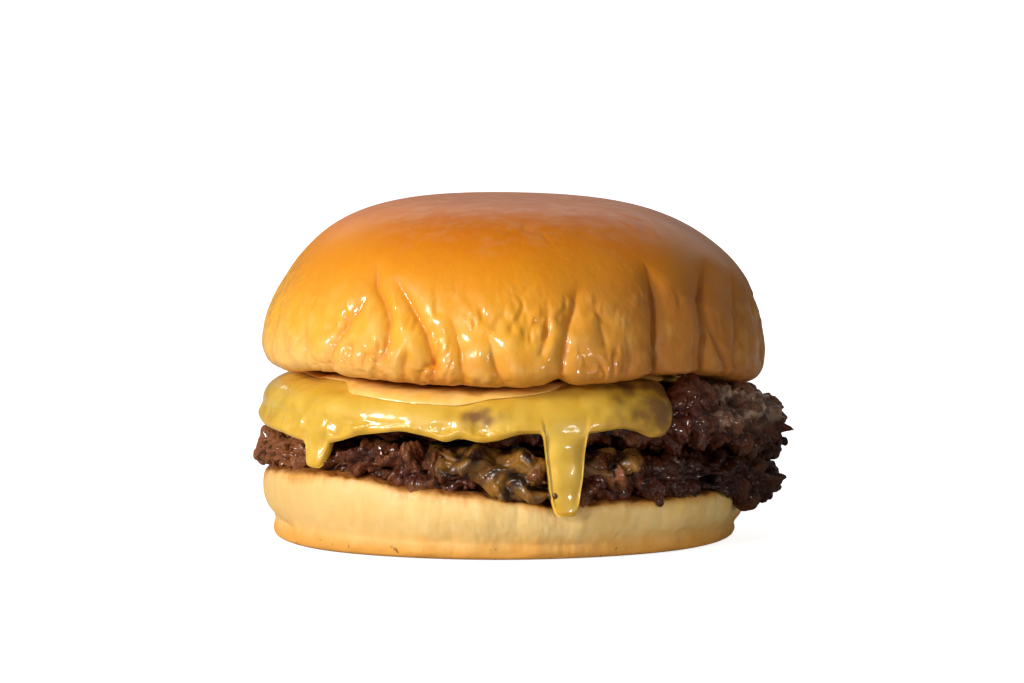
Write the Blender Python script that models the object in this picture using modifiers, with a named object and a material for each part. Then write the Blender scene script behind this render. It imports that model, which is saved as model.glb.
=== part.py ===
"""A double cheeseburger, about 115 mm long and 70 mm tall, standing on the flat base of its bottom bun.

Frame: metres, +Z up, origin at the middle of the flat base, front towards -Y, and +X the end where the
patties hang out furthest. Seven pieces lie on each other, each GAP clear of the next: bottom bun, lower
patty, lower cheese, upper patty, upper cheese, burger sauce and top bun.

Every piece starts as a turned shape of unit radius. A vertex of it has a share of the radius, an angle round
the middle, and a height mark, and the piece's own function turns these into its place.
"""

import math
from collections import namedtuple

import bpy

GAP = 0.0003
MERGE_WITHIN = 0.0001

# How many steps each piece is turned in, with finer steps for the pieces that have folds and drips.
STEPS = {
    "bottom_bun": 56,
    "lower_patty": 60,
    "upper_patty": 60,
    "lower_cheese": 56,
    "upper_cheese": 68,
    "burger_sauce": 48,
    "top_bun": 74,
}

# A level is where two layers meet: its height over the middle of the base, its rise for each metre along +X,
# and how far it has sunk out at the right and left ends, past a radius of sinks_from.
Level = namedtuple("Level", "height slope sinks_from right left")
CUT_FACE = Level(0.0124, -0.070, 0.0515, 0.0030, 0.0000)
LOWER_PATTY_TOP = Level(0.0212, -0.045, 0.0460, 0.0038, 0.0010)
LOWER_CHEESE_TOP = Level(0.0234, -0.045, 0.0460, 0.0034, 0.0010)
UPPER_PATTY_TOP = Level(0.0313, -0.020, 0.0450, 0.0042, 0.0028)
SAUCE_TOP = Level(0.0350, -0.020, 0.0500, 0.0000, 0.0000)
SINK_WIDTH = 0.012

# An outline is an oval of half-length a along X and half-width b along Y. Its middle is at x, and ripples
# make it uneven.
Outline = namedtuple("Outline", "a b x ripple seed")
BOTTOM_BUN_OUTLINE = Outline(0.0501, 0.0501, 0.0000, 0.006, 1.3)
LOWER_PATTY_OUTLINE = Outline(0.0552, 0.0498, 0.0032, 0.012, 2.1)
UPPER_PATTY_OUTLINE = Outline(0.0548, 0.0495, 0.0058, 0.010, 4.4)
TOP_BUN_OUTLINE = Outline(0.0526, 0.0520, 0.0023, 0.005, 0.6)
RIPPLE_ORDERS = range(2, 8)

# A patty lies between two levels, and its rim is rounded over a width of rim.
Patty = namedtuple("Patty", "outline bottom top rim")
LOWER_PATTY = Patty(LOWER_PATTY_OUTLINE, CUT_FACE, LOWER_PATTY_TOP, 0.0070)
UPPER_PATTY = Patty(UPPER_PATTY_OUTLINE, LOWER_CHEESE_TOP, UPPER_PATTY_TOP, 0.0080)
RIM_FACES = 8
FLAT_RINGS = [0.0, 0.45, 0.72]

# Slices of melted cheese, and the sauce, lie over a patty at a clearance from it, turn down over its rim as
# far as turn says, 1 being its widest point, and hang from there. Within SHORT_WITHIN degrees of +X they stop
# short, at reach_right of its flat top, and FULL_FROM degrees away they reach all the way.
# A drip is a tongue that hangs further: its angle round the middle, its half-width, and its extra length.
Drip = namedtuple("Drip", "angle half_width length")
Sheet = namedtuple("Sheet", "thickness clearance turn hang reach_right drips")
LOWER_DRIPS = [Drip(-84, 9, 0.0022), Drip(-60, 10, 0.0018), Drip(75, 14, 0.0018), Drip(160, 14, 0.0018)]
LOWER_CHEESE = Sheet(0.0008, 0.0007, 0.50, 0.0, 0.86, LOWER_DRIPS)
FRONT_DRIPS = [Drip(-138, 7, 0.0084), Drip(-98, 9, 0.0018), Drip(-75, 6, 0.0152)]
BACK_DRIPS = [Drip(110, 9, 0.0055), Drip(150, 8, 0.0040)]
UPPER_CHEESE = Sheet(0.0013, 0.0004, 1.0, 0.0032, 0.86, FRONT_DRIPS + BACK_DRIPS)
SAUCE = Sheet(0.0008, 0.0024, 0.38, 0.0, 0.80, [])
SHORT_WITHIN = 22
FULL_FROM = 58
SHORT_EDGE = 0.0012
SHORT_LIFT = 0.0024
HANG_FROM = 0.93
SWING_FROM = 0.0020
SWING_OVER = 0.0030
SHEET_MARKS = [0.0, 0.6, 1.0, 1.25, 1.5, 1.75, 2.0]

# Bottom bun: from the middle of the cut face over the shoulder and the belly to the browned foot and its flat
# base. Each mark is (share of the radius, share of the height).
BOTTOM_BUN_PROFILE = [
    (0.00, 1.00),
    (0.55, 1.00),
    (0.93, 1.00),
    (0.978, 0.965),
    (1.00, 0.87),
    (1.008, 0.68),
    (0.985, 0.45),
    (0.950, 0.27),
    (0.948, 0.20),
    (0.958, 0.12),
    (0.945, 0.05),
    (0.915, 0.00),
    (0.50, 0.00),
    (0.00, 0.00),
]

# Top bun: a dome, leaning a little to the left, over a waist and a tucked-in lip that has sunk at the right.
TOP_BUN_HEIGHT = 0.0714
TOP_BUN_WAIST = Level(0.0384, -0.038, 0.0500, 0.0000, 0.0000)
TOP_BUN_LIP = Level(0.0355, -0.012, 0.0445, 0.0034, 0.0000)
DOME_LEAN = -0.012
DOME_EXPONENT = 2.35
DOME_RINGS = 10
LIP_SEAT = 0.885
# Below the waist the height marks run from 0 at the waist to -1 at the lip, and to -2 at the flat underside.
LIP_MARKS = [(1.000, -0.35), (0.992, -0.70), (0.972, -0.94), (0.950, -1.00), (0.922, -1.00), (LIP_SEAT, -2.00)]

# Folds pinched into the side of the top bun: angle, lean for each metre down, height of the top, and depth.
Fold = namedtuple("Fold", "angle lean top depth")
FOLDS = [
    Fold(-55, 120, 0.057, 0.0016),
    Fold(-41, 350, 0.058, 0.0014),
    Fold(-22, 300, 0.052, 0.0012),
    Fold(-79, 0, 0.044, 0.0013),
    Fold(-121, 250, 0.054, 0.0011),
    Fold(-108, 300, 0.050, 0.0010),
    Fold(40, -200, 0.055, 0.0012),
    Fold(95, 150, 0.056, 0.0013),
    Fold(140, -100, 0.052, 0.0011),
    Fold(178, 200, 0.053, 0.0011),
]
FOLD_WIDTH = 0.0022
FOLD_FADE = 0.010
PINCH_FROM = 0.55
PINCH_WIDTH = 0.30
PINCH_UNDER = 0.6
PINCH_RADIUS = 0.010


def smooth_step(share):
    share = min(max(share, 0.0), 1.0)
    return share * share * (3 - 2 * share)


def height_at(level, x, y):
    """A sloping plane that sinks past a radius, most along +X and -X."""
    radius = math.hypot(x, y)
    ends = (level.right if x > 0 else level.left) * (x / max(radius, 1e-6)) ** 2
    return level.height + level.slope * x - ends * smooth_step((radius - level.sinks_from) / SINK_WIDTH)


def ripple(angle, amount, seed):
    """A sum of cosines, smaller at higher orders, so that an outline is uneven but closes on itself."""
    return amount * sum(math.cos(k * angle + seed * k * k) / k for k in RIPPLE_ORDERS)


def radius_at(outline, angle):
    oval = math.hypot(outline.a * math.cos(angle), outline.b * math.sin(angle))
    return oval * (1 + ripple(angle, outline.ripple, outline.seed))


def angle_between(a, b):
    """The turn from b to a, in degrees from -180 to 180."""
    return (a - b + 180) % 360 - 180


def turned(name, profile, steps):
    """A turned mesh of unit radius: the profile, at +X from top to bottom, spun round Z. Its seam and poles
    are merged."""
    mesh = bpy.data.meshes.new(name + "_profile")
    links = [(i, i + 1) for i in range(len(profile) - 1)]
    mesh.from_pydata([(share, 0, mark) for share, mark in profile], links, [])
    obj = bpy.data.objects.new(name + "_profile", mesh)
    bpy.context.scene.collection.objects.link(obj)
    screw = obj.modifiers.new("Turn", "SCREW")
    screw.steps = screw.render_steps = steps
    screw.use_merge_vertices = True
    screw.merge_threshold = MERGE_WITHIN
    screw.use_smooth_shade = True
    bpy.context.view_layer.update()
    evaluated = obj.evaluated_get(bpy.context.evaluated_depsgraph_get())
    solid = bpy.data.meshes.new_from_object(evaluated)
    bpy.data.objects.remove(obj)
    return solid


def shaped(name, mesh, place, material, collection):
    """The object whose vertices go where place(share, angle, mark) says."""
    for vertex in mesh.vertices:
        x, y, mark = vertex.co
        vertex.co = place(math.hypot(x, y), math.atan2(y, x), mark)
    mesh.update()
    obj = bpy.data.objects.new(name, mesh)
    collection.objects.link(obj)
    mesh.materials.append(material)
    return obj


def finish(name, color, roughness, coat=0.0):
    material = bpy.data.materials.new(name)
    material.use_nodes = True
    shader = material.node_tree.nodes["Principled BSDF"]
    shader.inputs["Base Color"].default_value = (*color, 1)
    shader.inputs["Roughness"].default_value = roughness
    shader.inputs["Coat Weight"].default_value = coat
    material.diffuse_color = (*color, 1)
    return material


def at_angle(outline, share, angle):
    radius = share * radius_at(outline, angle)
    return outline.x + radius * math.cos(angle), radius * math.sin(angle), radius


def bottom_bun(share, angle, mark):
    x, y, _ = at_angle(BOTTOM_BUN_OUTLINE, share, angle)
    return x, y, mark * height_at(CUT_FACE, x, y)


def between(patty, x, y, share, clearance=0.0):
    """The height at a share of the patty's half-thickness over its middle: 1 is its top and -1 its bottom."""
    bottom = height_at(patty.bottom, x, y) + GAP
    top = height_at(patty.top, x, y)
    return (top + bottom) / 2 + share * ((top - bottom) / 2 + clearance)


def patty_place(patty):
    """A pillbox with a half-elliptic rim. The mark is a share of its half-thickness."""

    def place(share, angle, mark):
        x, y, _ = at_angle(patty.outline, share, angle)
        return x, y, between(patty, x, y, mark)

    return place


def patty_profile(patty):
    """Flat faces joined by the rim's half-ellipse, in shares of the outline's half-length."""
    width = patty.rim / patty.outline.a
    turns = [math.pi * (0.5 - i / RIM_FACES) for i in range(RIM_FACES + 1)]
    rim = [(1 - width + width * math.cos(turn), math.sin(turn)) for turn in turns]
    top = [(share, 1) for share in FLAT_RINGS]
    bottom = [(share, -1) for share in reversed(FLAT_RINGS)]
    return [*top, *rim, *bottom]


def drip_share(drip, angle):
    """1 in the middle of a drip, and 0 away from it."""
    return math.exp(-((angle_between(math.degrees(angle), drip.angle) / drip.half_width) ** 4))


def hang_length(sheet, angle):
    """How far the sheet hangs at this angle: its plain hem, and a drip where there is one."""
    return sheet.hang + max((drip.length * drip_share(drip, angle) for drip in sheet.drips), default=0.0)


def below_clearance(patty, angle):
    """The radius at which a drip clears the lower patty and the cheese that hangs over it."""
    if patty is LOWER_PATTY:
        return 0.0
    shift = (LOWER_PATTY_OUTLINE.x - patty.outline.x) * math.cos(angle)
    covered = LOWER_CHEESE.clearance + LOWER_CHEESE.thickness + 2 * GAP
    return radius_at(LOWER_PATTY_OUTLINE, angle) + shift + covered


def sheet_place(sheet, patty):
    """The inner face of a sheet over a patty. Its marks run from 0 to 1 over the flat top, to 2 over the rim,
    and to 3 down the hem. Over the rim it follows the patty's own ellipse, one clearance larger. The lift is a
    low hump, 4 * full * (1 - full), that keeps the sheet off the rim where it stops short."""

    def place(_share, angle, minus_mark):
        mark = -minus_mark
        full = smooth_step((abs(math.degrees(angle)) - SHORT_WITHIN) / (FULL_FROM - SHORT_WITHIN))
        rim = patty.rim * radius_at(patty.outline, angle) / patty.outline.a
        flat = radius_at(patty.outline, angle) - rim
        radius = min(mark, 1.0) * flat * (sheet.reach_right + (1 - sheet.reach_right) * full)
        radius += max(mark - 1.0, 0.0) * SHORT_EDGE * (1 - full)
        dripping = max((drip_share(drip, angle) for drip in sheet.drips), default=0.0)
        turned_down = sheet.turn + (1 - sheet.turn) * dripping
        over = math.sin(min(max(mark - 1.0, 0.0), 1.0) * turned_down * math.pi / 2 * full)
        radius += over * (rim + sheet.clearance)
        turn = math.asin(min(max(radius - flat, 0.0) / (rim + sheet.clearance), 1.0))
        hanging = smooth_step((full - HANG_FROM) / (1 - HANG_FROM))
        fall = max(mark - 2.0, 0.0) * hang_length(sheet, angle) * hanging
        swing = smooth_step((fall - SWING_FROM) / SWING_OVER)
        radius += swing * max(below_clearance(patty, angle) - radius, 0.0)
        x, y = patty.outline.x + radius * math.cos(angle), radius * math.sin(angle)
        lift = SHORT_LIFT * 4 * full * (1 - full) * over
        return x, y, between(patty, x, y, math.cos(turn), sheet.clearance + lift) - fall

    return place


def sheet_profile(hem_marks):
    """A flat disc of unit radius: its marks say how far along the sheet each ring is."""
    marks = [*SHEET_MARKS, *hem_marks]
    return [(mark / marks[-1], -mark) for mark in marks]


def thicken(obj, thickness):
    """Gives an open sheet its thickness, all of it on the outer side."""
    solidify = obj.modifiers.new("Thickness", "SOLIDIFY")
    solidify.thickness = thickness
    solidify.offset = 1
    solidify.use_even_offset = False


def top_bun_profile():
    """A quarter of a superellipse from the top of the dome to the waist, then the lip and the underside."""
    power = 2 / DOME_EXPONENT
    dome = []
    for ring in range(DOME_RINGS + 1):
        turn = math.pi / 2 * (1 - ring / DOME_RINGS)
        dome.append((max(math.cos(turn), 0) ** power, max(math.sin(turn), 0) ** power))
    dome[0] = (0.0, 1.0)
    return [*dome, *LIP_MARKS, (0.0, -2.0)]


def fold_depth(angle, z):
    """The depth of the folds here: a sharp valley across each fold, fading in below the fold's top end."""
    turn = math.degrees(angle)
    depth = 0.0
    for fold in FOLDS:
        middle = fold.angle + fold.lean * (fold.top - z)
        away = math.radians(angle_between(turn, middle)) * TOP_BUN_OUTLINE.a
        depth += fold.depth * math.exp(-abs(away) / FOLD_WIDTH) * smooth_step((fold.top - z) / FOLD_FADE)
    return depth


def top_bun_height(mark, x, y):
    """The height of a mark: the dome down to the waist, the lip below it, and the underside inside the lip."""
    waist = height_at(TOP_BUN_WAIST, x, y)
    lip = height_at(TOP_BUN_LIP, x, y)
    if mark >= 0:
        return waist + mark * (TOP_BUN_HEIGHT + DOME_LEAN * x - waist)
    if mark >= -1:
        return waist + mark * (waist - lip)
    return lip + (-1 - mark) * (height_at(SAUCE_TOP, x, y) + GAP - lip)


def top_bun(share, angle, mark):
    x, y, radius = at_angle(TOP_BUN_OUTLINE, share, angle)
    z = top_bun_height(mark, x, y)
    if share < LIP_SEAT and mark < 0:
        return x, y, z
    side = smooth_step((share - PINCH_FROM) / PINCH_WIDTH) if mark > -1 else PINCH_UNDER
    pinch = 1 - side * fold_depth(angle, z) / max(radius, PINCH_RADIUS)
    middle = TOP_BUN_OUTLINE.x
    return middle + (x - middle) * pinch, y * pinch, z


def build():
    """Makes the seven pieces, from the bottom up, in a collection of their own."""
    burger = bpy.data.collections.new("double_cheeseburger")
    bpy.context.scene.collection.children.link(burger)

    crust = finish("golden_crust", (0.72, 0.36, 0.07), 0.40, 0.2)
    crumb = finish("pale_bun", (0.90, 0.66, 0.30), 0.60)
    beef = finish("seared_beef", (0.10, 0.035, 0.015), 0.45, 0.3)
    cheese = finish("melted_cheese", (0.86, 0.54, 0.09), 0.30, 0.4)
    sauce = finish("peach_sauce", (0.92, 0.56, 0.16), 0.30, 0.4)

    def add(name, profile, place, material):
        return shaped(name, turned(name, profile, STEPS[name]), place, material, burger)

    add("bottom_bun", BOTTOM_BUN_PROFILE, bottom_bun, crumb)
    for name, patty in (("lower_patty", LOWER_PATTY), ("upper_patty", UPPER_PATTY)):
        add(name, patty_profile(patty), patty_place(patty), beef)

    slice_below = add("lower_cheese", sheet_profile([3.0]), sheet_place(LOWER_CHEESE, LOWER_PATTY), cheese)
    thicken(slice_below, LOWER_CHEESE.thickness)
    hanging = sheet_profile([2.4, 3.0])
    slice_above = add("upper_cheese", hanging, sheet_place(UPPER_CHEESE, UPPER_PATTY), cheese)
    thicken(slice_above, UPPER_CHEESE.thickness)
    spread = add("burger_sauce", sheet_profile([]), sheet_place(SAUCE, UPPER_PATTY), sauce)
    thicken(spread, SAUCE.thickness)

    add("top_bun", top_bun_profile(), top_bun, crust)


for old in list(bpy.data.objects):
    bpy.data.objects.remove(old)
build()
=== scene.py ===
"""The looks of a double cheeseburger: its bun, patties, melted cheese and sauce, on a pale floor in soft
light.

Lengths are millimetres until a mesh is made. A turn is an angle round the burger in degrees: 0 is the
front, 90 the right end and -90 the left. Every piece is a grid of points, with rings of equal turn steps
going down.
"""

import math
from itertools import product

import bmesh
import bpy
import numpy as np
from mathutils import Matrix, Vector


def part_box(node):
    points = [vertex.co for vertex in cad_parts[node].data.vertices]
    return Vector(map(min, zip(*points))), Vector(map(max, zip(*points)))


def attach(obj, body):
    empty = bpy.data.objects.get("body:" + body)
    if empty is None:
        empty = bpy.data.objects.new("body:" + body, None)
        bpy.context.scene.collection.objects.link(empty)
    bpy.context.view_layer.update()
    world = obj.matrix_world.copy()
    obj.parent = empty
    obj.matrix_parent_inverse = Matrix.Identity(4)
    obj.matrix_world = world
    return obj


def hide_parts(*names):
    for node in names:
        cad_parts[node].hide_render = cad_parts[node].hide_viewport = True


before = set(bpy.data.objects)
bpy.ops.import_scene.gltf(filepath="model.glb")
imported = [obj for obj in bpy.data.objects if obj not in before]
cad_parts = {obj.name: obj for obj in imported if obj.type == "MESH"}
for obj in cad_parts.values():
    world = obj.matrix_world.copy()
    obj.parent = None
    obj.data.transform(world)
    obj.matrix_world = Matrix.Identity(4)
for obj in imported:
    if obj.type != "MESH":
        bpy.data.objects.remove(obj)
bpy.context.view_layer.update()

MM = 0.001


# ----------------------------------------------------------------------
# Numbers that look random but are the same each run


def hashed(cell, seed):
    """A number from 0 to 1 for each whole-number cell (..., 3): the three numbers are multiplied by large
    odd numbers, added and mixed by shifts."""
    n = cell[..., 0] * 374761393 + cell[..., 1] * 668265263 + cell[..., 2] * 2147483647 + seed * 1274126177
    n = (n ^ (n >> 13)) * 1274126177
    n = n ^ (n >> 16)
    return (n & 0xFFFFFF) / 0xFFFFFF


def noise(points, size, seed):
    """Gradient noise from about -1 to 1: at each corner of a lattice with cells of this size stands a
    slope, and the eight slopes round a point are blended with the quintic ease 6t^5 - 15t^4 + 10t^3."""
    scaled = points / size
    base = np.floor(scaled).astype(np.int64)
    inside = scaled - base
    blend = inside**3 * (inside * (inside * 6 - 15) + 10)
    total = np.zeros(points.shape[:-1])
    for corner in product((0, 1), repeat=3):
        step = np.array(corner)
        cell = base + step
        slope = np.stack([hashed(cell, seed + 7 * k) for k in range(3)], -1) * 2 - 1
        share = np.prod(np.where(step, blend, 1 - blend), -1)
        total += share * np.sum(slope * (inside - step), -1)
    return total * 1.6


def rough(points, size, seed, octaves):
    """Noise of this size, plus finer and finer noise, each half the size and half the height of the last."""
    return sum(noise(points, size / 2**k, seed + 31 * k) * 0.5**k for k in range(octaves))


def ease(share):
    """The smooth step 3t^2 - 2t^3 of a share held between 0 and 1."""
    share = np.clip(share, 0, 1)
    return share * share * (3 - 2 * share)


def bell(x, width):
    """e^(-(x / width)^2): 1 at the middle, falling away on both sides."""
    return np.exp(-((x / width) ** 2))


def wrapped(turn):
    """The same turn, from -180 to 180 degrees."""
    return (turn + 180) % 360 - 180


def around(points, turn, soft=3.0):
    """A value that goes round the burger: straight lines between (turn, value) points, softened by the
    mean of nine readings over this many degrees each way."""
    turns, values = zip(*points)
    steps = np.linspace(-soft, soft, 9)
    return sum(np.interp(turn + step, turns, values, period=360) for step in steps) / len(steps)


# ----------------------------------------------------------------------
# Grids and meshes


def turns_round(columns, crowding=0.3):
    """The turns of the columns, closer together at the front than at the back by a sine."""
    share = np.arange(columns) / columns
    return np.degrees(2 * np.pi * share - np.pi + crowding * np.sin(2 * np.pi * share))


def uneven(radius, turn, lobes, shift, waves):
    """A radius with 0.6% more and less in this many lobes, turned by shift, and 0.4% in this many waves."""
    broad = 0.006 * np.cos(np.radians(lobes * turn + shift))
    return radius * (1 + broad + 0.004 * np.cos(np.radians(waves * turn)))


def ring_points(radius, turn, height, middle=0.0):
    """Points at a radius, turn and height round an upright axis at x = middle."""
    angle = np.radians(turn)
    x = middle + radius * np.sin(angle)
    y = -radius * np.cos(angle)
    return np.stack(np.broadcast_arrays(x, y, height), -1)


def outward(grid):
    """Unit normals: the cross product of the step down the rings and the step round them."""
    down = np.gradient(grid, axis=0)
    along = np.roll(grid, -1, 1) - np.roll(grid, 1, 1)
    normal = np.cross(down, along)
    return normal / np.maximum(np.linalg.norm(normal, axis=-1, keepdims=True), 1e-9)


def pushed(grid, distance):
    """The grid moved out along its normals."""
    return grid + outward(grid) * distance[..., None]


def faces_between(rings, columns):
    """The four points of each face between the rings of a grid that closes round, numbered ring by ring."""
    column = np.arange(columns)
    after = (column + 1) % columns
    ring = columns * np.arange(rings - 1)[:, None]
    below = ring + columns
    return np.stack([ring + column, below + column, below + after, ring + after], -1).reshape(-1, 4)


def piece(name, grid, material, slot, nodes, **marks):
    """A closed mesh from a grid: its first and last rings shrink to poles, and each mark becomes a point
    attribute."""
    rings, columns = grid.shape[:2]
    body = grid[1:-1].reshape(-1, 3)
    points = np.concatenate([grid[:1].mean(1), body, grid[-1:].mean(1)]) * MM
    quads = 1 + faces_between(rings - 2, columns)
    column = np.arange(columns)
    after = (column + 1) % columns
    last = len(points) - 1
    lowest = last - columns
    top = np.stack([np.zeros_like(column), 1 + column, 1 + after], -1)
    bottom = np.stack([lowest + column, np.full_like(column, last), lowest + after], -1)
    mesh = bpy.data.meshes.new(name)
    mesh.vertices.add(len(points))
    mesh.vertices.foreach_set("co", points.ravel())
    corners = np.concatenate([quads.ravel(), top.ravel(), bottom.ravel()])
    sizes = np.concatenate([np.full(len(quads), 4), np.full(2 * columns, 3)])
    mesh.loops.add(len(corners))
    mesh.loops.foreach_set("vertex_index", corners)
    mesh.polygons.add(len(sizes))
    mesh.polygons.foreach_set("loop_start", np.cumsum(sizes) - sizes)
    mesh.update(calc_edges=True)
    mesh.shade_smooth()
    for mark, values in marks.items():
        flat = np.concatenate([values[:1].mean(1), values[1:-1].ravel(), values[-1:].mean(1)])
        layer = mesh.attributes.new(mark, "FLOAT", "POINT")
        layer.data.foreach_set("value", flat.astype(np.float32))
    obj = bpy.data.objects.new(name, mesh)
    bpy.context.scene.collection.objects.link(obj)
    mesh.materials.append(material)
    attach(obj, "root")
    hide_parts(*nodes)


# ----------------------------------------------------------------------
# Materials


class Value:
    """A socket of a material. Arithmetic on it adds Math nodes."""

    def __init__(self, paint, socket):
        self.paint = paint
        self.socket = socket

    def math(self, operation, *others):
        return self.paint.add("ShaderNodeMath", {"operation": operation}, dict(enumerate([self, *others])))

    def __add__(self, other):
        return self.math("ADD", other)

    def __sub__(self, other):
        return self.math("SUBTRACT", other)

    def __mul__(self, other):
        return self.math("MULTIPLY", other)

    def __rsub__(self, other):
        return (self * -1) + other

    __radd__ = __add__
    __rmul__ = __mul__

    def between(self, low, high):
        """0 below low and 1 above high, with a smooth step between. High may be the lower of the two."""
        settings = {"interpolation_type": "SMOOTHSTEP"}
        if low > high:
            return 1 - self.between(high, low)
        return self.paint.add("ShaderNodeMapRange", settings, {0: self, 1: low, 2: high, 3: 0.0, 4: 1.0})


class Paint:
    """A procedural material."""

    def __init__(self, name):
        self.material = bpy.data.materials.new(name)
        self.material.use_nodes = True
        self.tree = self.material.node_tree
        self.shader = self.tree.nodes["Principled BSDF"]
        self.place = self.add("ShaderNodeTexCoord", {}, {}, "Object")

    def add(self, kind, settings, inputs, output=0):
        """A node of this kind: its settings, then the values or links of its sockets. Returns one of its
        outputs."""
        node = self.tree.nodes.new(kind)
        for key, value in settings.items():
            setattr(node, key, value)
        for key, value in inputs.items():
            self.feed(node.inputs[key], value)
        return Value(self, node.outputs[output])

    def feed(self, socket, value):
        if isinstance(value, Value):
            self.tree.links.new(value.socket, socket)
        elif isinstance(value, tuple) and len(value) == 3 and socket.type == "RGBA":
            socket.default_value = (*value, 1)
        else:
            socket.default_value = value

    def mark(self, name):
        """One of the marks that piece() writes at each point."""
        return self.add("ShaderNodeAttribute", {"attribute_name": name}, {}, "Fac")

    def axis(self, name):
        """How far along X, Y or Z each point is, in mm."""
        return self.add("ShaderNodeSeparateXYZ", {}, {0: self.place}, name) * (1 / MM)

    def noise(self, size, detail=2.0, roughness=0.5, stretch=(1, 1, 1), distortion=0.0):
        """Noise with features of this size in mm, drawn out along an axis by its share of stretch."""
        scale = tuple(1 / part for part in stretch)
        place = self.add("ShaderNodeMapping", {}, {"Vector": self.place, "Scale": scale})
        inputs = {"Vector": place, "Scale": 1 / (size * MM), "Detail": detail, "Roughness": roughness}
        return self.add("ShaderNodeTexNoise", {}, {**inputs, "Distortion": distortion})

    def mix(self, share, first, second):
        """The first colour where share is 0 and the second where it is 1."""
        settings = {"data_type": "RGBA", "clamp_factor": True}
        return self.add("ShaderNodeMix", settings, {0: share, 6: first, 7: second}, 2)

    def bump(self, height, distance):
        """Fine relief: where height is 1, the surface looks this many mm higher than where it is 0."""
        inputs = {"Height": height, "Distance": distance * MM, "Strength": 1.0}
        return self.add("ShaderNodeBump", {}, inputs)

    def finish(self, **inputs):
        """Sets or links the shader's sockets, whose names have _ for a space here."""
        for name, value in inputs.items():
            self.feed(self.shader.inputs[name.replace("_", " ")], value)
        return self.material


def screen(red, green, blue):
    """The linear colour of a screen colour, whose parts run from 0 to 255."""
    parts = [part / 255 for part in (red, green, blue)]
    return tuple(part / 12.92 if part <= 0.04045 else ((part + 0.055) / 1.055) ** 2.4 for part in parts)


def crust_finish():
    """Glazed bun skin: deep orange-brown on top, golden on the side, with tan blisters near the top. It is
    painted paler low down at the left as painted light, and browner at the right and in its folds as painted
    shade."""
    paint = Paint("golden_crust")
    across = paint.axis("X")
    height = paint.axis("Z") + across * 0.03
    drift = paint.noise(14, 3, 0.55) * 9 + paint.noise(4, 2) * 2.5
    level = height + drift - 5.75
    # Painted light: low down, the skin is paler towards the left, the side that the key light falls on.
    low = paint.mix((across + drift).between(-10, -36), screen(220, 147, 42), screen(244, 186, 94))
    skin = paint.mix(level.between(37, 47), low, screen(242, 170, 46))
    skin = paint.mix(level.between(46, 58), skin, screen(230, 144, 20))
    skin = paint.mix(level.between(56, 67), skin, screen(222, 122, 8))
    skin = paint.mix(level.between(64, 72), skin, screen(206, 106, 16))
    # Painted shade: browner towards the right end, which faces away from the key light.
    shaded = (across + drift).between(6, 42) * level.between(66, 52)
    skin = paint.mix(shaded * 0.85, skin, screen(192, 116, 46))
    blister = paint.noise(3.2, 3, 0.6, stretch=(1.5, 1, 1)).between(0.44, 0.66) * level.between(59, 68)
    skin = paint.mix(blister * 0.45, skin, screen(222, 148, 88))
    pale = paint.noise(3.0, 2, 0.5, stretch=(1, 1, 2.2)).between(0.55, 0.78) * level.between(60, 46)
    skin = paint.mix(pale * 0.18, skin, screen(252, 206, 116))
    # Painted shade in the folds and pucker lines: a deep orange at the left and a darker brown at the right.
    fold_shade_colour = paint.mix(across.between(14, 34), screen(206, 112, 10), screen(140, 72, 16))
    skin = paint.mix(paint.mark("crease") * 0.55, skin, fold_shade_colour)
    skin = paint.mix(paint.mark("ridge") * 0.22, skin, screen(255, 216, 130))
    skin = paint.mix(paint.mark("scorch") * 0.75, skin, screen(190, 106, 24))
    glaze = paint.noise(1.6, 2).between(0.40, 0.62) * level.between(62, 52)
    fine = paint.noise(0.9, 2, 0.5, stretch=(1, 1, 2.0))
    return paint.finish(
        Base_Color=skin,
        Roughness=0.42 + paint.noise(5, 2) * 0.14,
        Specular_IOR_Level=0.25,
        Coat_Weight=glaze * 0.60 + 0.03,
        Coat_Roughness=0.12,
        Subsurface_Weight=0.10,
        Subsurface_Scale=0.0015,
        Normal=paint.bump(fine + paint.noise(2.4, 2, 0.5, stretch=(1, 1, 2)) * 1.6, 0.07),
    )


def crumb_finish():
    """The bottom bun: a pale steamed side with painted shade towards the left, which tones down the key light
    there, a toasted edge soaked with fat, and a golden baked foot with dark pits."""
    paint = Paint("pale_bun")
    height = paint.axis("Z")
    streaks = paint.noise(2.6, 3, 0.6, stretch=(1, 1, 5)) * 3 + paint.noise(9, 2) * 3
    drift = paint.noise(7, 3, 0.5).between(0.35, 0.7)
    side = paint.mix(drift, screen(244, 205, 130), screen(238, 194, 112))
    streaky = paint.noise(2.0, 2, 0.5, stretch=(1, 1, 4)).between(0.5, 0.75)
    side = paint.mix(streaky * 0.4, side, screen(250, 220, 154))
    # Painted shade: the side is darker towards the left, which tones down the key light that falls there.
    side = paint.mix(paint.axis("X").between(0, -44) * 0.6, side, screen(230, 180, 104))
    foot = (height + streaks - 3.0).between(6.2, 1.0)
    skin = paint.mix(foot, side, screen(226, 160, 66))
    edge = paint.mark("edge")
    soaked = (edge + streaks * 0.09 - 0.27).between(0.80, 0.97)
    skin = paint.mix(soaked * 0.80, skin, screen(222, 148, 52))
    skin = paint.mix((edge + streaks * 0.02 - 0.06).between(0.90, 0.98) * 0.85, skin, screen(128, 64, 14))
    pits = paint.noise(1.5, 1, 0.4).between(0.66, 0.74) * height.between(3.2, 1.2)
    skin = paint.mix(pits * 0.8, skin, screen(112, 58, 20))
    return paint.finish(
        Base_Color=skin,
        Roughness=0.62 - soaked * 0.15,
        Coat_Weight=soaked * 0.15,
        Coat_Roughness=0.2,
        Subsurface_Weight=0.15,
        Subsurface_Scale=0.002,
        Normal=paint.bump(paint.noise(1.3, 2, 0.5, stretch=(1, 1, 3)), 0.08),
    )


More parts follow.
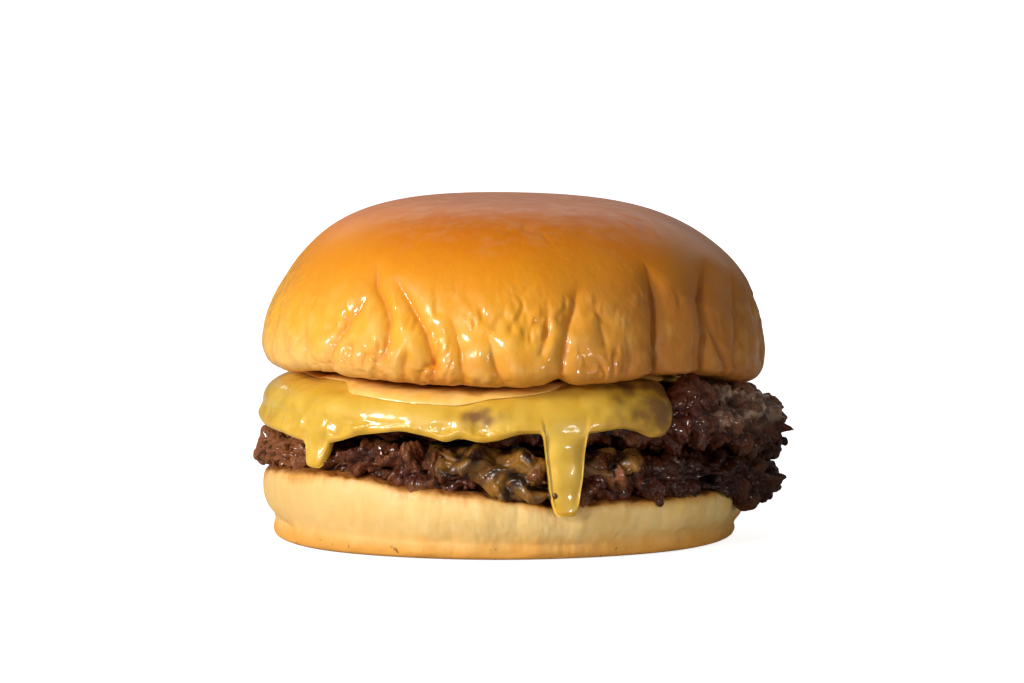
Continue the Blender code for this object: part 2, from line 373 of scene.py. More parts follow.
def beef_finish():
    """Seared beef: dark crust, redder where it is wet, juicy at the front right, with paler lumps. Painted
    light makes the left end paler; the grey-brown on the dry planes of the upper right end is partly dry
    crust and partly a painted highlight; painted shade makes the creases and holes near black and the foot
    darker at the right. Only small spots shine."""
    paint = Paint("seared_beef")
    right = paint.axis("X")
    base = paint.mix(paint.noise(3.2, 3, 0.6).between(0.36, 0.66), screen(52, 20, 8), screen(104, 54, 26))
    wet = paint.noise(4.5, 2, 0.5, distortion=0.4).between(0.44, 0.60)
    base = paint.mix(wet * 0.6, base, screen(76, 24, 8))
    # Painted light: paler and warmer towards the left end, where the key light falls.
    base = paint.mix(right.between(-28, -44) * 0.6, base, screen(150, 90, 48))
    base = paint.mix(paint.mark("proud") * 0.45, base, screen(150, 92, 52))
    dry = right.between(36, 52) * (1 - wet * 0.4)
    planes = paint.noise(4.2, 2, 0.5, stretch=(1, 1, 0.6)).between(0.44, 0.62)
    height = paint.axis("Z")
    # Partly painted highlight: the pale grey-brown on the dry planes up at the right end is dry crust, and
    # also stands in for light falling on them.
    base = paint.mix(dry * (planes * 0.80 + 0.15) * height.between(22, 29), base, screen(196, 164, 136))
    juicy = right.between(27, 33) * right.between(47, 41)
    base = paint.mix(juicy * 0.65, base, screen(78, 28, 8))
    # Painted shade: near black low down at the right end, away from the key light.
    base = paint.mix(right.between(24, 40) * height.between(26, 17) * 0.65, base, screen(30, 10, 5))
    # Painted shade: near black in the creases and holes of the crags.
    base = paint.mix(paint.mark("deep") * 0.95, base, screen(8, 2, 1))
    glint = paint.noise(0.8, 1, 0.5).between(0.42, 0.52)
    return paint.finish(
        Base_Color=base,
        Roughness=0.55 - wet * 0.15,
        Coat_Weight=(wet * 0.5 + 0.4 + juicy * 0.3) * glint * (1 - dry * 0.5),
        Coat_Roughness=0.10,
        Specular_IOR_Level=0.15,
        Subsurface_Weight=0.03,
        Subsurface_Scale=0.001,
        Normal=paint.bump(paint.noise(0.7, 2, 0.5) + paint.noise(1.8, 2) * 1.2, 0.42),
    )


def cheese_finish(name, plain, deep, veil, gloss):
    """Melted cheese: a plain yellow and a deeper one in drifts, a brownish veil, both where it is thin over
    the beef and as painted shade, and an amber hem. The gloss is the share of the clear coat."""
    paint = Paint(name)
    skin = paint.mix(paint.noise(6, 2, 0.5, distortion=0.5).between(0.35, 0.68), plain, deep)
    # The thin mark is partly real thinness and partly painted shade, as each slice sets it.
    skin = paint.mix((paint.mark("thin") + paint.noise(2.2, 2) * 0.5 - 0.25).between(0.15, 0.95), skin, veil)
    skin = paint.mix(paint.mark("hem") * 0.45, skin, screen(226, 166, 36))
    return paint.finish(
        Base_Color=skin,
        Roughness=0.34 + paint.noise(3.5, 2).between(0.35, 0.7) * 0.16,
        Coat_Weight=(paint.noise(5, 1).between(0.35, 0.6) * 0.6 + 0.4) * gloss,
        Coat_Roughness=0.08,
        Specular_IOR_Level=0.35,
        Subsurface_Weight=0.15,
        Subsurface_Scale=0.002,
        Normal=paint.bump(paint.noise(3.0, 1, 0.4), 0.10),
    )


def sauce_finish():
    """Sauce: two peach tones in drifts, under a thin clear coat."""
    paint = Paint("peach_sauce")
    skin = paint.mix(paint.noise(4, 2, 0.5).between(0.35, 0.7), screen(252, 203, 112), screen(247, 188, 84))
    return paint.finish(
        Base_Color=skin,
        Roughness=0.28 + paint.noise(3, 2) * 0.12,
        Coat_Weight=0.5,
        Coat_Roughness=0.08,
        Subsurface_Weight=0.15,
        Subsurface_Scale=0.0015,
        Normal=paint.bump(paint.noise(1.8, 2, 0.5), 0.10),
    )


# ----------------------------------------------------------------------
# Top bun

# Both buns have this many points round each ring.
BUN_COLUMNS = 620
TOP_BUN_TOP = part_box("top_bun")[1][2] / MM
TOP_BUN_MIDDLE = 2.3
TOP_BUN_RADIUS = 52.6
# The waist is where the dome ends and the lip begins. It and the dome's top sink by these shares of x.
WAIST_HEIGHT = 39.2
WAIST_TILT = -0.038
DOME_TILT = -0.017
# The upper side of the dome leans this far towards +X. The superellipse's powers are 2 over the last two.
DOME_LEAN = 1.1
DOME_REACH = 3.3
DOME_RISE = 1.8
# The lip turns in under the bun by this share of the radius.
LIP_TUCK = 0.075
# The lower edge of the bun all the way round, with the notch and the lobes that the folds leave in it.
LIP = [
    (-180, 35.6), (-140, 35.9), (-110, 35.6), (-88, 35.6), (-69, 36.0), (-60, 36.4), (-48, 36.6),
    (-38, 36.2), (-27, 36.2), (-20, 35.8), (-8, 35.3), (2, 35.4), (7, 36.0), (10.5, 37.4),
    (12.5, 36.4), (15, 35.7), (23, 35.9), (33, 36.7), (49, 36.4), (60, 35.0), (68, 34.2),
    (80, 32.8), (92, 32.4), (110, 33.0), (135, 34.8), (160, 35.4),
]
# Folds in the skin: points (turn, height) down each, then its width and depth.
FOLDS = [
    ([(-41, 61.0), (-39, 58.2), (-38, 55.4), (-34, 52.6), (-31, 49.1), (-30, 44.4), (-31, 41.0)], 0.9, 1.5),
    ([(-38, 55.4), (-40, 51.4), (-42, 47.9), (-45, 44.1), (-46, 40.5), (-47, 37.0)], 0.9, 1.1),
    ([(-32, 56.8), (-27, 52.8), (-24, 50.0), (-21, 47.1), (-19, 43.1), (-18, 39.1), (-18.5, 36.5)], 0.9, 1.5),
    ([(-15, 49.6), (-14, 48.2), (-12, 43.2), (-11, 37.2)], 0.7, 1.0),
    ([(-20.5, 55.0), (-19, 50.7)], 0.5, 0.6),
    ([(-6, 46.0), (-5, 44.3), (-4, 40.3), (-2, 36.2)], 0.6, 1.0),
    ([(2, 51.0), (2.4, 45.7)], 0.5, 0.6),
    ([(7, 53.0), (7.5, 46.9), (6, 42.5)], 0.5, 0.7),
    ([(14.5, 54.5), (13, 50.0), (12, 47.2), (11, 41.2), (11, 36.5)], 0.7, 1.3),
    ([(19.5, 50.0), (21, 44.1)], 0.5, 0.5),
    ([(26, 47.0), (27, 41.0), (26, 37.0)], 0.6, 0.5),
    ([(37.5, 61.0), (37, 55.4), (36.6, 51.4), (35, 44.5), (35, 40.0), (34, 36.8)], 0.8, 1.7),
    ([(68, 60.8), (57, 56.4), (52, 51.7), (51, 45.7), (49, 40.0), (48, 36.5)], 0.9, 1.5),
    ([(51, 49.0), (52, 47.2), (54, 43.9), (57, 40.0), (58, 36.0)], 0.7, 1.0),
    ([(72, 55.0), (66, 46.8), (63, 40.8), (63, 36.0)], 0.8, 1.0),
    ([(-57, 48.2), (-54, 41.5), (-55, 37.5)], 0.7, 0.7),
    ([(-40, 44.4), (-39, 37.8)], 0.5, 0.7),
    ([(-24, 45.0), (-25, 39.3), (-25.5, 36.8)], 0.5, 0.8),
    ([(-66, 46.0), (-63, 40.0)], 0.7, 0.6),
    ([(-74, 50.0), (-72, 43.0), (-74, 38.0)], 0.8, 0.8),
    ([(84, 54.0), (80, 47.0), (83, 40.0), (81, 34.0)], 0.9, 1.3),
    ([(104, 57.0), (100, 50.0), (104, 43.0), (102, 35.0)], 1.0, 1.3),
    ([(124, 54.0), (128, 47.0), (125, 39.0)], 0.9, 1.0),
    ([(146, 58.0), (143, 51.0), (147, 44.0), (145, 36.0)], 1.0, 1.4),
    ([(170, 52.0), (166, 46.0), (168, 37.5)], 0.9, 1.0),
    ([(-172, 58.0), (-168, 51.0), (-171, 44.0), (-168, 36.0)], 1.0, 1.4),
    ([(-150, 53.0), (-153, 46.0), (-150, 37.0)], 0.9, 1.0),
    ([(-134, 57.0), (-130, 50.0), (-133, 42.0), (-131, 36.5)], 1.0, 1.3),
    ([(-112, 54.0), (-108, 47.0), (-110, 37.0)], 0.9, 1.1),
    ([(-94, 56.0), (-97, 49.0), (-93, 39.0)], 0.9, 1.0),
]
# Where the skin is fully puckered: turn and strength.
PUCKERING = [(-180, 0.7), (-120, 0.6), (-92, 0.25), (-76, 0.25), (-60, 0.8), (-40, 1.0)]
PUCKERING += [(0, 1.0), (15, 0.7), (35, 0.45), (60, 0.5), (90, 0.8)]


def fold_relief(turn, height, folds, radius):
    """How deep the folds are, and how much of a crease each point is. With d the distance to a fold's
    nearest stretch over its width, a fold is 0.6 e^-d + 0.4 e^-(d / 3.5)^2 deep: a sharp crease in a soft
    hollow. It fades out at its upper end."""
    hollow = np.zeros(turn.shape)
    crease = np.zeros(turn.shape)
    for path, width, depth in folds:
        marks = np.array(path, float)
        spots = np.stack([np.radians(wrapped(marks[:, 0] - marks[0, 0])) * radius, marks[:, 1]], -1)
        across = np.radians(wrapped(turn - marks[0, 0])) * radius
        near = (np.abs(across - spots[:, 0].mean()) < 18) & (height < spots[:, 1].max() + 8)
        place = np.stack([across[near], height[near]], -1)
        nearest = np.full(len(place), 99.0)
        for start, end in zip(spots, spots[1:]):
            run = end - start
            along = np.clip((place - start) @ run / (run @ run), 0, 1)
            nearest = np.minimum(nearest, np.linalg.norm(place - start - along[:, None] * run, axis=1))
        fade = depth * ease((spots[0, 1] + 2.5 - place[:, 1]) / 8.0)
        d = nearest / width
        hollow[near] = np.maximum(hollow[near], fade * (0.6 * np.exp(-d) + 0.4 * bell(d, 3.5)))
        crease[near] = np.maximum(crease[near], fade * bell(d, 0.9))
    return hollow, crease


def top_bun():
    """A superellipse dome, turned under at a lip. Its skin is pushed in by folds and puckers and swells
    between. The puckers and folds fade out near the lip and on the smooth top, which has a few faint
    lines of its own."""
    turn = turns_round(BUN_COLUMNS)[None, :]
    dome = np.linspace(0, 1, 98) ** 1.1 * np.pi / 2
    lip = np.linspace(0, 1, 36)[1:] * np.pi / 2
    inside = np.linspace(1, 0, 14)[1:]
    tucked_in = 1 - LIP_TUCK * (1 - np.cos(lip))
    share = np.concatenate([np.sin(dome) ** (2 / DOME_REACH), tucked_in, (1 - LIP_TUCK) * inside])[:, None]
    rise = np.concatenate([np.cos(dome) ** (2 / DOME_RISE), np.zeros(len(lip) + len(inside))])[:, None]
    sink = np.concatenate([np.zeros(len(dome)), np.sin(lip), 1 + 0 * inside])[:, None]
    rise[len(dome) - 1] = 0

    radius = uneven(TOP_BUN_RADIUS, turn, 2, 40, 5)
    x = TOP_BUN_MIDDLE + share * radius * np.sin(np.radians(turn))
    waist = WAIST_HEIGHT + WAIST_TILT * x
    top = TOP_BUN_TOP - 0.4 + DOME_TILT * x
    edge = around(LIP, turn, 1.4)
    hollow_base = 0.6 * np.concatenate([np.zeros(len(dome) + len(lip)), 1 - inside])[:, None]
    height = waist + rise * (top - waist) - sink * (waist - edge) + hollow_base
    grid = ring_points(share * radius, turn, height, TOP_BUN_MIDDLE)
    grid[..., 0] += DOME_LEAN * bell(height - 57, 10)

    turns = np.broadcast_to(turn, height.shape)
    hollow, crease = fold_relief(turns, height, FOLDS, TOP_BUN_RADIUS)
    side = ease((share - 0.62) / 0.28) * ease((70 - height) / 16)
    under = ease((share - 0.80) / 0.12)
    pucker = around(PUCKERING, turn, 8) * ease((59 - height + 4 * noise(grid, 14, 5)) / 14) * under
    drawn = grid * np.array([1, 1, 0.36]) + 1.3 * noise(grid, 5, 81)[..., None]
    lines = bell(noise(drawn, 3.6, 21), 0.13)
    finer = bell(noise(drawn * np.array([1, 1, 1.5]), 1.9, 22), 0.16)
    where = ease(0.5 + 1.6 * noise(grid, 7, 23))
    pillows = 0.50 * noise(grid, 7.5, 24) + 0.34 * noise(grid, 3.4, 25)
    waved = grid * np.array([0.5, 0.7, 1.0]) + noise(grid, 8, 83)[..., None] * 2
    top_lines = bell(noise(waved, 4.4, 26), 0.09)
    on_top = ease((height - 62) / 5) * ease(0.45 + 1.5 * noise(grid, 16, 27))
    lobes = 0.5 * noise(grid * np.array([1, 1, 0.3]), 15, 28) * side
    hem = 1 - 0.65 * bell(height - edge, 2.6)
    pucker = pucker * hem
    relief = pillows * pucker + lobes - (1.25 + 0.5 * ease((turn - 24) / 12)) * hollow * under * hem
    relief -= pucker * where * (0.55 * lines + 0.26 * finer)
    relief += 0.24 * noise(grid * np.array([1, 1, 0.6]), 1.5, 33) * pucker * where
    relief -= 0.15 * top_lines * on_top
    relief += 0.05 * rough(grid, 2.6, 29, 2) * under
    crinkled = bell(turn + 16, 14) * bell(height - 36.8, 1.2) * under
    relief += crinkled * (0.5 * noise(grid, 1.7, 30) + 0.3)
    grid = pushed(grid, relief)
    # This mark is painted shade along the folds and the pucker lines.
    painted_fold_shade = np.clip(crease / 1.6 + pucker * where * (0.45 * lines + 0.2 * finer), 0, 1) * under
    ridges = np.clip(pucker * 1.6 * np.clip(noise(grid, 3.4, 25), 0, 1), 0, 1) * under * side
    scorch = crinkled * (0.6 + 0.8 * noise(grid, 2.6, 31)) + 0.35 * bell(height - edge, 0.9) * under
    marks = {"crease": painted_fold_shade, "ridge": ridges, "scorch": np.clip(scorch, 0, 1)}
    piece("top_bun_crust", grid, crust_finish(), "golden_crust", ["top_bun"], **marks)


# ----------------------------------------------------------------------
# Bottom bun

BOTTOM_BUN_RADIUS = 49.9
# The relief of the bun, the upper slice and the sauce is calmer at this turn.
CALM_TURN = -85
# The cut edge of the bottom bun, high at the front left and low where the drips press on it.
CUT_EDGE = [
    (-180, 13.2), (-135, 14.2), (-95, 14.4), (-75, 15.6), (-56, 16.8), (-45, 17.0), (-35, 16.6),
    (-24, 15.0), (-15, 14.2), (-5, 13.6), (4, 12.6), (13, 11.6), (22, 11.8), (34, 12.0),
    (47, 11.7), (64, 12.3), (78, 11.6), (95, 10.6), (135, 11.8),
]
BREAD_FOLDS = [
    ([(-104, 5.6), (-84, 4.8), (-74, 4.2), (-66, 3.6)], 0.8, 1.4),
    ([(22, 4.6), (34, 5.2), (50, 6.8), (64, 7.8), (80, 8.0)], 0.9, 0.9),
    ([(34, 5.2), (42, 4.2), (56, 3.8)], 0.7, 0.5),
    ([(110, 5.6), (130, 4.8), (150, 5.4)], 0.9, 0.9),
    ([(-170, 4.6), (-150, 5.4), (-130, 4.6)], 0.9, 0.8),
]


def bottom_bun():
    """A turned profile: a cut face, a rounded shoulder, a belly that draws in, and a rounded foot on a
    flat base. Its height follows the cut edge, and soft upright pleats run down its side."""
    turn = turns_round(BUN_COLUMNS)[None, :]
    edge = around(CUT_EDGE, turn, 3)
    profile = np.array(
        [
            (0.00, 1.000), (0.60, 0.985), (0.90, 1.000), (0.965, 0.992), (0.990, 0.955),
            (1.000, 0.88), (1.004, 0.75), (1.000, 0.60), (0.985, 0.45), (0.965, 0.32),
            (0.958, 0.25), (0.962, 0.18), (0.962, 0.10), (0.952, 0.022), (0.928, 0.000),
            (0.60, 0.000), (0.00, 0.000),
        ]
    )
    spots = np.concatenate([np.linspace(0, 2, 8)[:-1], np.linspace(2, 14, 112), np.linspace(14, 16, 6)[1:]])
    order = np.arange(len(profile))
    share = np.interp(spots, order, profile[:, 0])
    mark = np.interp(spots, order, profile[:, 1])
    kernel = np.array([1, 2, 3, 4, 5, 4, 3, 2, 1]) / 25
    for _ in range(2):
        share[11:-9] = np.convolve(share, kernel, "same")[11:-9]
        mark[11:-9] = np.convolve(mark, kernel, "same")[11:-9]
    share, mark = share[:, None], mark[:, None]
    radius = uneven(BOTTOM_BUN_RADIUS, turn, 3, 80, 7)
    reach = share * radius
    middle = around(CUT_EDGE, turn, 60)
    height = mark * (middle + (edge - middle) * ease((share - 0.5) / 0.45))
    grid = ring_points(reach, turn, height)
    turns = np.broadcast_to(turn, height.shape)
    hollow, _ = fold_relief(turns, height, BREAD_FOLDS, BOTTOM_BUN_RADIUS)
    side = ease((share - 0.90) / 0.06) * ease(height / 1.6)
    drawn = grid * np.array([1, 1, 0.22])
    pleats = 0.40 * noise(drawn, 6.5, 41) + 0.16 * noise(drawn, 2.8, 42) + 0.06 * noise(drawn * 1.4, 1.2, 43)
    lumps = 0.55 * noise(grid, 11, 44) + 0.07 * rough(grid, 3.0, 45, 3)
    torn = ease((mark - 0.90) / 0.08) * (0.35 * noise(grid, 2.6, 46) + 0.2 * noise(grid, 1.1, 47))
    squeeze = 0.7 * bell(turn - 14, 6) * bell(mark - 0.85, 0.25)
    even = 1 - 0.6 * bell(turn - CALM_TURN, 20)
    relief = side * (even * (pleats + lumps) + torn - squeeze - hollow)
    grid = pushed(grid, relief)
    grid[..., 2] = np.maximum(grid[..., 2], 0.0)
    brow = np.broadcast_to(mark, height.shape) * ease((share - 0.8) / 0.1)
    piece("bottom_bun_bread", grid, crumb_finish(), "pale_bun", ["bottom_bun"], edge=brow)


# ----------------------------------------------------------------------
# Patties

# The patties, the slices and the sauce are turned round an upright axis at this x.
STACK_MIDDLE = 3.0

# For each patty, by turn: its reach from that axis, its top and bottom, and how far the top sags and the
# bottom droops out at the rim.
LOWER_REACH = [
    (-180, 50.0), (-135, 50.8), (-105, 53.0), (-88, 52.6), (-70, 51.6), (-45, 50.2), (0, 49.2),
    (30, 49.2), (48, 49.6), (62, 51.0), (76, 52.2), (90, 53.6), (104, 52.4), (120, 51.0),
    (140, 50.0), (160, 49.8),
]
LOWER_TOP = [(-180, 21.0), (-135, 21.8), (-90, 20.6), (-60, 21.6), (-45, 22.0), (0, 21.2)]
LOWER_TOP += [(33, 20.4), (90, 19.2), (135, 20.0)]
LOWER_BOTTOM = [(-180, 13.0), (-90, 14.6), (-45, 15.2), (0, 13.2), (33, 11.8), (60, 11.2)]
LOWER_BOTTOM += [(90, 10.2), (135, 11.6)]
LOWER_SAG = [(-180, 0.0), (-60, 0.0), (40, 0.2), (66, 1.4), (92, 1.8), (112, 1.2), (135, 0.3)]
LOWER_DROOP = [(-180, 0.3), (-90, 0.4), (-60, 0.2), (48, 0.5), (66, 4.0), (76, 4.8), (92, 4.4)]
LOWER_DROOP += [(112, 3.0), (135, 0.6)]
UPPER_REACH = [
    (-180, 49.6), (-135, 50.2), (-100, 51.0), (-90, 51.8), (-70, 50.8), (-45, 49.8), (0, 49.2),
    (30, 49.4), (44, 50.2), (58, 51.6), (72, 53.2), (90, 54.6), (104, 53.6), (120, 52.8),
    (140, 50.6), (160, 49.8),
]
UPPER_TOP = [(-180, 31.8), (-90, 32.2), (-45, 32.0), (0, 31.6), (38, 32.4), (48, 34.0)]
UPPER_TOP += [(62, 33.8), (90, 32.0), (135, 31.6)]
UPPER_BOTTOM = [(-180, 23.2), (-90, 24.6), (-45, 24.2), (0, 22.8), (33, 22.0), (60, 21.4)]
UPPER_BOTTOM += [(90, 20.8), (135, 22.0)]
UPPER_SAG = [(-180, 0.0), (-90, 0.6), (-60, 0.2), (40, 0.2), (70, 2.0), (92, 3.2), (112, 2.0), (135, 0.3)]
UPPER_DROOP = [(-180, 0.4), (-90, 1.8), (-60, 0.4), (44, 0.5), (62, 2.6), (78, 4.6), (92, 5.0)]
UPPER_DROOP += [(112, 3.4), (135, 0.6)]
# Tips of crust that stand out: turn, height, width and length.
LOWER_TIPS = [(-89, 16.8, 1.6, 4.4), (84, 12.5, 1.4, 1.8), (98, 10.5, 1.4, 1.6), (72, 9.0, 1.2, 1.4)]
UPPER_TIPS = [(-90, 27.0, 0.9, 2.2), (88, 22.4, 1.2, 4.6), (80, 26.6, 1.2, 1.6)]
UPPER_TIPS += [(70, 29.2, 1.2, 1.2), (96, 19.4, 1.2, 1.4)]
# A patty starts to sink at the first radius and is down by sag and droop after the second distance.
DROOP_FROM = 45.0
DROOP_OVER = 8.0
# Each patty's crags come from a seed of its own, which the cheese that clings to it shares.
LOWER_SEED = 200
UPPER_SEED = 300


def slab(turn, reach, rim, top, bottom, sag, droop):
    """A pillbox with a half-elliptic rim, between the heights top and bottom. Out at the rim its upper
    edge has sunk by sag and its lower edge by droop. Returns the grid and each row's angle over the rim,
    from 90 degrees at the top to -90 at the bottom."""
    flat_top = np.linspace(0, 1, 6)[:-1]
    over = np.linspace(np.pi / 2, -np.pi / 2, 70)
    flat_bottom = np.linspace(1, 0, 6)[1:]
    inner = np.concatenate([flat_top, 0 * over + 1, flat_bottom])[:, None]
    angle = np.concatenate([0 * flat_top + np.pi / 2, over, 0 * flat_bottom - np.pi / 2])[:, None]
    radius = inner * (reach - rim) + rim * np.cos(angle)
    lift = np.sign(np.sin(angle)) * np.abs(np.sin(angle)) ** 0.8
    height = (top + bottom) / 2 + (top - bottom) / 2 * lift
    sunk = sag * (1 + lift) / 2 + droop * (1 - lift) / 2
    height = height - sunk * ease((radius - DROOP_FROM) / DROOP_OVER)
    return ring_points(radius, turn, height, STACK_MIDDLE), angle, inner


def crags(grid, seed):
    """Seared mince: rounded lumps of four sizes with creases between them, where each is the absolute
    value of a noise, and a few deep holes. Returns the relief, and how deep and how proud each point is."""
    bent = grid + 1.8 * np.stack([noise(grid, 5.0, seed + k) for k in range(3)], -1)
    flat = bent * np.array([1, 1, 1.25])
    big = np.abs(noise(flat, 9.5, seed + 3)) - 0.25
    middle = np.abs(noise(flat, 4.4, seed + 4)) - 0.25
    small = np.abs(noise(bent, 2.1, seed + 5)) - 0.25
    tiny = np.abs(noise(grid, 1.0, seed + 6)) - 0.25
    holes = ease((noise(grid * np.array([1, 1, 1.4]), 6.5, seed + 7) - 0.34) / 0.3)
    relief = 5.0 * big + 2.9 * middle + 1.2 * small + 0.5 * tiny - 3.8 * holes
    return relief, np.clip(holes + ease((-relief - 0.9) / 1.4), 0, 1), ease((relief - 0.3) / 1.8)


def ragged(grid, seed):
    """Broad upright waves in a rim, which a slice that clings to it shares."""
    return 1.1 * noise(grid * np.array([1, 1, 0.35]), 6.5, seed + 22)


def patty(name, node, reach, rim, top, bottom, sag, droop, seed, material, hem, cover, tips):
    """A slab whose rim is all crags, calm where cheese covers it, above the hem and under its cover, and
    rougher at the right end, where shelves and spikes of crust stand out. A tip is a cone at a turn and
    height, e^(-distance / width) times its length high. Returns its grid and how much of each point is
    bare rim."""
    turn = turns_round(1080)[None, :]
    edge = around(reach, turn, 2.0)
    levels = [around(each, turn, 5) for each in (top, bottom, sag, droop)]
    grid, angle, inner = slab(turn, edge, rim, *levels)
    relief, deep, proud = crags(grid, seed)
    rimmed = ease((inner - 0.9) / 0.1) * ease((np.cos(angle) + 0.25) / 0.6)
    end = ease((wrapped(turn - 90) + 55) / 35) * ease((60 - wrapped(turn - 90)) / 40)
    peaks = np.clip(noise(grid * np.array([1, 1, 1.3]), 3.6, seed + 20) - 0.30, 0, 1)
    spikes = peaks * 4.4 * np.cos(angle) ** 2
    shelf = 2.4 * (np.abs(noise(grid * np.array([0.5, 0.5, 1.3]), 4.6, seed + 21)) - 0.25)
    calm = around(cover, turn) * ease((grid[..., 2] - around(hem, turn, 1.4) + 2.5) / 2.0)
    crust = relief * (1 - 0.25 * end) + end * (spikes + shelf) + ragged(grid, seed)
    push = rimmed * crust * (1 - 0.85 * calm) - 0.5 * calm
    for at, height, width, length in tips:
        spot = ring_points(around(reach, at, 2.0), at, height, STACK_MIDDLE)
        push = push + length * np.exp(-np.linalg.norm(grid - spot, axis=-1) / width)
    grid = pushed(grid, push)
    # The deep mark is painted as shade in the beef's creases and holes.
    piece(name, grid, material, "seared_beef", [node], deep=deep * rimmed, proud=proud * rimmed)
    return grid, rimmed * ease(np.cos(angle) / 0.4) * (1 - calm)


# Crumbs on each patty's rim.
CRUMBS_EACH = 150


def crumbs(rims, material):
    """Small crumbs of crust, one mesh: each is a ball of rings that noise makes lumpy, and it sits on the
    surface of a patty's rim, at a grid point that seeded numbers pick."""
    rng = np.random.default_rng(14)
    centres = []
    for grid, rimmed in rims:
        spots = grid[np.broadcast_to(rimmed, grid.shape[:2]) > 0.6]
        centres.append(spots[rng.integers(0, len(spots), CRUMBS_EACH)])
    centre = np.concatenate(centres)[:, None, None, :]
    rings, columns = 7, 8
    polar = np.linspace(0, np.pi, rings)[None, :, None]
    spin = (np.arange(columns) / columns * 2 * np.pi)[None, None, :]
    x = np.sin(polar) * np.cos(spin)
    y = np.sin(polar) * np.sin(spin)
    ball = np.stack(np.broadcast_arrays(x, y, np.cos(polar)), -1)
    size = rng.uniform(0.3, 0.8, len(centre))[:, None, None, None]
    squash = rng.uniform(0.7, 1.3, (len(centre), 1, 1, 3))
    shapes = ball * size * squash
    shapes = shapes * (1 + 0.45 * noise(shapes + centre, 1.1, 61))[..., None]
    points = (shapes + centre).reshape(len(centre), -1, 3)
    first = points.shape[1] * np.arange(len(centre))[:, None, None]
    faces = (faces_between(rings, columns)[None] + first).reshape(-1, 4)
    mesh = bpy.data.meshes.new("beef_crumbs")
    mesh.from_pydata((points.reshape(-1, 3) * MM).tolist(), [], faces.tolist())
    weld(mesh)
    obj = bpy.data.objects.new("beef_crumbs", mesh)
    bpy.context.scene.collection.objects.link(obj)
    mesh.materials.append(material)
    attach(obj, "root")


def weld(mesh):
    """Merges the points that meet at each pole, and shades the mesh smooth."""
    work = bmesh.new()
    work.from_mesh(mesh)
    bmesh.ops.remove_doubles(work, verts=work.verts, dist=1e-6)
    bmesh.ops.dissolve_degenerate(work, edges=work.edges, dist=1e-7)
    bmesh.ops.recalc_face_normals(work, faces=work.faces)
    work.to_mesh(mesh)
    work.free()
    mesh.shade_smooth()


# ----------------------------------------------------------------------
# Cheese and sauce


def draped(reach, shoulder, crest, waist, hem, cover, swing):
    """The middle line of a sheet laid over a patty, as radii and heights: flat out to the shoulder, over
    it by a quarter ellipse that ends upright at the waist, and down to the hem, moved out by swing(the
    fall so far in mm). Where cover is 0 it stops short, inside the shoulder."""
    start = (reach - shoulder) * (0.82 + 0.18 * cover)
    over = np.linspace(0, np.pi / 2, 28)[:, None]
    flat_r = np.linspace(0, 1, 6)[:-1, None] * start
    over_r = start + shoulder * np.sin(over) * (0.08 + 0.92 * cover)
    over_z = crest - (crest - waist) * (1 - np.cos(over)) * cover
    down = np.linspace(0, 1, 34)[1:, None]
    drop = np.maximum(waist - hem, 0.05) * cover
    down_r = over_r[-1] + swing(down * drop) + 0.05 * down**2
    down_z = over_z[-1] - down * drop
    return np.concatenate([flat_r, over_r, down_r]), np.concatenate([crest + 0 * flat_r, over_z, down_z])


def thickened(r, z, thick, bead):
    """A line of radii and heights given a thickness: outwards along its upper side and back along its
    lower side, round a bead at its end that is a little thicker. Also returns the distance to the end,
    and 1 or -1 for the side."""
    step_r = np.gradient(r, axis=0)
    step_z = np.gradient(z, axis=0)
    size = np.maximum(np.hypot(step_r, step_z), 1e-6)
    along = np.cumsum(size, axis=0)
    left = along[-1] - along
    nose = np.sqrt(np.clip(1 - (1 - np.clip(left / bead, 0, 1)) ** 2, 0, 1))
    half = thick / 2 * nose * (1 + 0.5 * bell(left - 1.1 * bead, 1.3 * bead))
    normal_r, normal_z = -step_z / size, step_r / size
    radius = np.concatenate([r + normal_r * half, (r - normal_r * half)[::-1]])
    height = np.concatenate([z + normal_z * half, (z - normal_z * half)[::-1]])
    side = np.concatenate([np.ones_like(left), -np.ones_like(left)])
    return radius, height, np.concatenate([left, left[::-1]]), side


# The hem of the upper slice all the way round, then its drips: turn, half-width in degrees, and height of
# the tip. The cover is 1 where a slice hangs over its patty and 0 where it stops short.
UPPER_HEM = [
    (-180, 25.0), (-172, 23.0), (-160, 25.6), (-148, 22.0), (-138, 25.2), (-124, 23.8),
    (-112, 25.8), (-100, 24.6), (-86, 24.8), (-75, 24.0), (-64, 23.6), (-58, 22.8), (-47, 22.8),
    (-43, 23.6), (-38, 25.0), (-27, 26.3), (-20, 25.3), (-16, 24.2), (-13, 25.3), (-8, 24.3),
    (-4, 24.8), (1, 26.2), (17, 26.0), (25, 26.9), (29, 26.0), (32, 24.6), (37, 24.8), (40, 26.9),
    (43, 30.0), (50, 31.0), (128, 30.0), (140, 26.0), (150, 22.0), (158, 24.6), (170, 25.4),
]
UPPER_DRIPS = [(-52, 3.6, 17.4), (11.2, 4.3, 9.2), (-148, 4.5, 16.5), (152, 4.0, 15.0)]
UPPER_COVER = [(-180, 1.0), (36, 1.0), (40, 0.9), (44, 0.35), (49, 0.0), (120, 0.0), (128, 0.5), (136, 1.0)]
UPPER_CREST = [(-180, 33.2), (-90, 34.0), (-45, 33.8), (-25, 33.4), (4, 33.6), (14, 34.6)]
UPPER_CREST += [(45, 34.8), (70, 33.4)]
